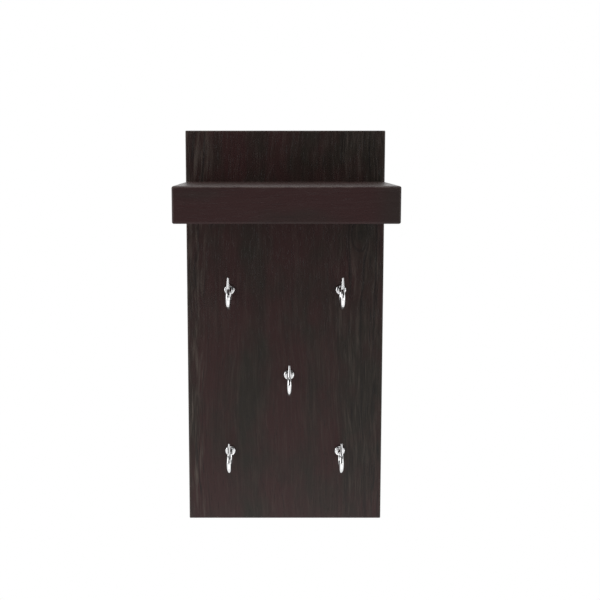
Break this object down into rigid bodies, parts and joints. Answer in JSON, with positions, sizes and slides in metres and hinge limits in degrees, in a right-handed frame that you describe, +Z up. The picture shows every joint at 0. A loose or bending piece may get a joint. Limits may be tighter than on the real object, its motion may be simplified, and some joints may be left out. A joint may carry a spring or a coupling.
{
  "type": "wall key holder",
  "caption": "Dark wooden wall key holder: an upright back board with a thick ledge shelf near its top and bright screw hooks below it, hung on keyhole plates.",
  "frame": {"origin": "midway between the entry holes of the two keyhole plates, on the back face of the board", "axes": "+Z up along the board, +X to the viewer's right, +Y into the wall, so the shelf and hooks point to -Y"},
  "size_m": [0.1516, 0.118, 0.305],
  "materials": {
    "dark_wood": "dark stained open grain with a thin satin lacquer",
    "beech": "plain fluted beech",
    "hook_chrome": "bright plated wire",
    "zinc_steel": "zinc plated steel"
  },
  "bodies": {
    "root": {"back_panel": "dark_wood", "shelf": "dark_wood", "shelf_dowel_left": "beech", "shelf_dowel_right": "beech", "key_hook_upper_left": "hook_chrome", "key_hook_upper_right": "hook_chrome", "key_hook_centre": "hook_chrome", "key_hook_lower_left": "hook_chrome", "key_hook_lower_right": "hook_chrome", "hanger_plate_left": "zinc_steel", "hanger_plate_right": "zinc_steel", "hanger_screw_left_lower": "zinc_steel", "hanger_screw_left_upper": "zinc_steel", "hanger_screw_right_lower": "zinc_steel", "hanger_screw_right_upper": "zinc_steel", "shelf_screw_left": "zinc_steel", "shelf_screw_centre": "zinc_steel", "shelf_screw_right": "zinc_steel"}
  },
  "joints": []
}
